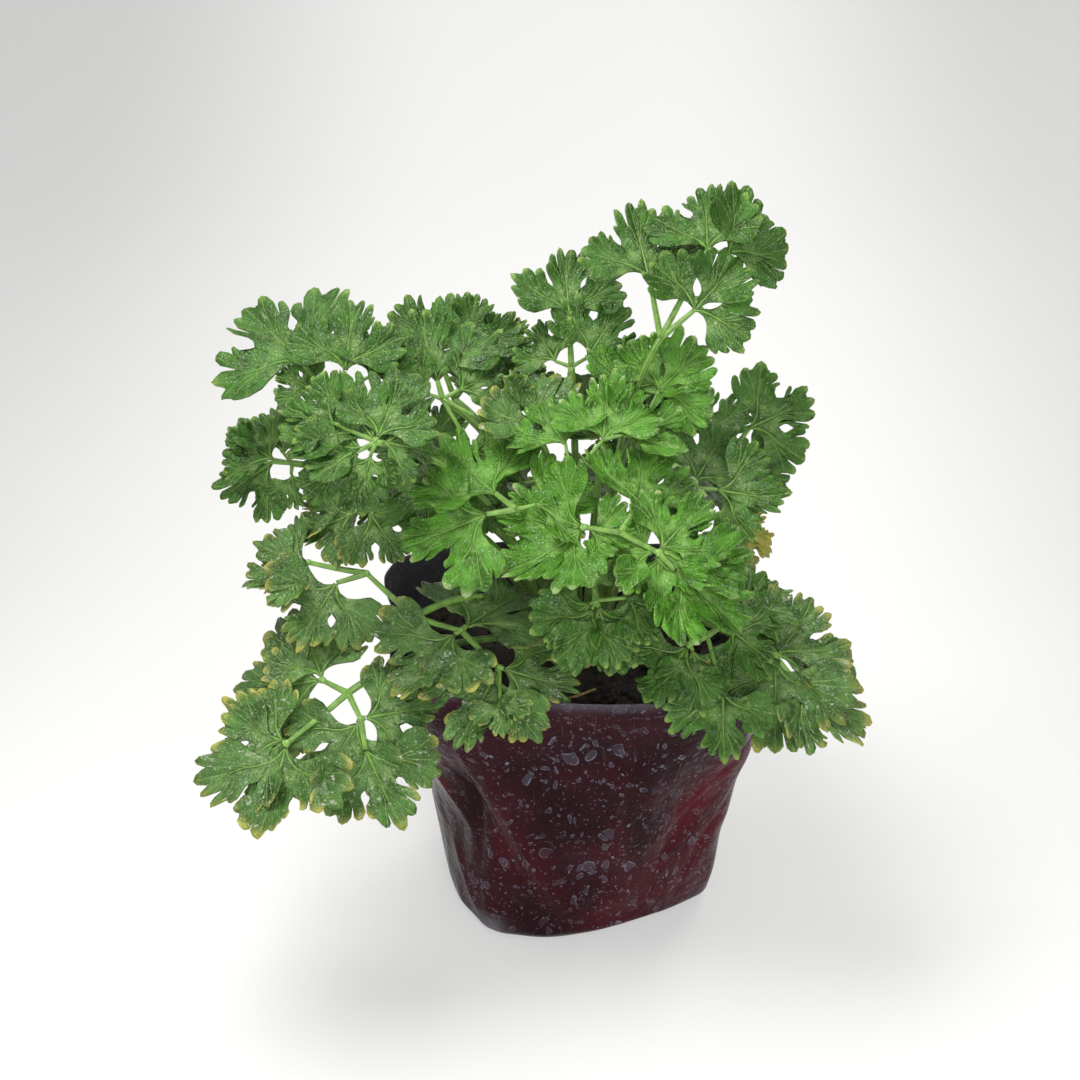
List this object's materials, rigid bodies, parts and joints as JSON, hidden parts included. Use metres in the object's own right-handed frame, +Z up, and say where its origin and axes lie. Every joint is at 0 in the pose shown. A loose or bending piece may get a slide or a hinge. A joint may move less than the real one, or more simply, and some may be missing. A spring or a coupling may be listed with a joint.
{
  "type": "potted parsley",
  "caption": "Young flat-leaved parsley plant growing in a soft plastic-film nursery bag of soil, with spreading fronds of toothed leaflets.",
  "frame": {"origin": "centre of the bag's flat base, on the surface that it stands on", "axes": "+Z up along the plant, +X to the right and -Y towards the viewer who faces the fullest side"},
  "size_m": [0.2618, 0.2356, 0.3095],
  "materials": {
    "film": "thin maroon-black film, dusty with dried water spots",
    "soil": "moist dark potting mix",
    "root": "pale fibrous root",
    "straw": "dry straw",
    "seedling": "soft young seed leaves",
    "stalk": "grooved green stalk",
    "leaf_young": "bright young leaf",
    "leaf_mature": "satin grown leaf",
    "leaf_old": "dark older leaf with yellowing tips"
  },
  "bodies": {
    "root": {"grow_bag": "film", "soil": "soil", "rootstock": "root", "seedling": "seedling", "straw": "straw", "stem_tall_right": "stalk", "leaf_tall_right": "leaf_mature", "stem_top_centre": "stalk", "leaf_top_centre": "leaf_mature", "stem_upper_right": "stalk", "leaf_upper_right": "leaf_young", "stem_high_front": "stalk", "leaf_high_front": "leaf_young", "stem_centre_front": "stalk", "leaf_centre_front": "leaf_young", "stem_right_rim": "stalk", "leaf_right_rim": "leaf_mature", "stem_right_low": "stalk", "leaf_right_low": "leaf_old", "stem_front_small": "stalk", "leaf_front_small": "leaf_mature", "stem_front_left": "stalk", "leaf_front_left": "leaf_old", "stem_low_left": "stalk", "leaf_low_left": "leaf_old", "stem_left_dark": "stalk", "leaf_left_dark": "leaf_old", "stem_left_far": "stalk", "leaf_left_far": "leaf_mature", "stem_left_bright": "stalk", "leaf_left_bright": "leaf_young", "stem_top_left": "stalk", "leaf_top_left": "leaf_mature", "stem_back_left": "stalk", "leaf_back_left": "leaf_mature", "stem_back_centre": "stalk", "leaf_back_centre": "leaf_mature", "stem_inner_left": "stalk", "leaf_inner_left": "leaf_mature", "stem_inner_mid": "stalk", "leaf_inner_mid": "leaf_young", "stem_inner_low": "stalk", "leaf_inner_low": "leaf_mature", "stem_inner_dark": "stalk", "leaf_inner_dark": "leaf_old", "stem_right_back": "stalk", "leaf_right_back": "leaf_mature", "stem_right_mid": "stalk", "leaf_right_mid": "leaf_mature", "stem_right_yellow": "stalk", "leaf_right_yellow": "leaf_old", "stem_back_right": "stalk", "leaf_back_right": "leaf_mature", "stem_back_low": "stalk", "leaf_back_low": "leaf_old", "stem_back_far_left": "stalk", "leaf_back_far_left": "leaf_old", "stem_back_high": "stalk", "leaf_back_high": "leaf_mature"}
  },
  "joints": []
}
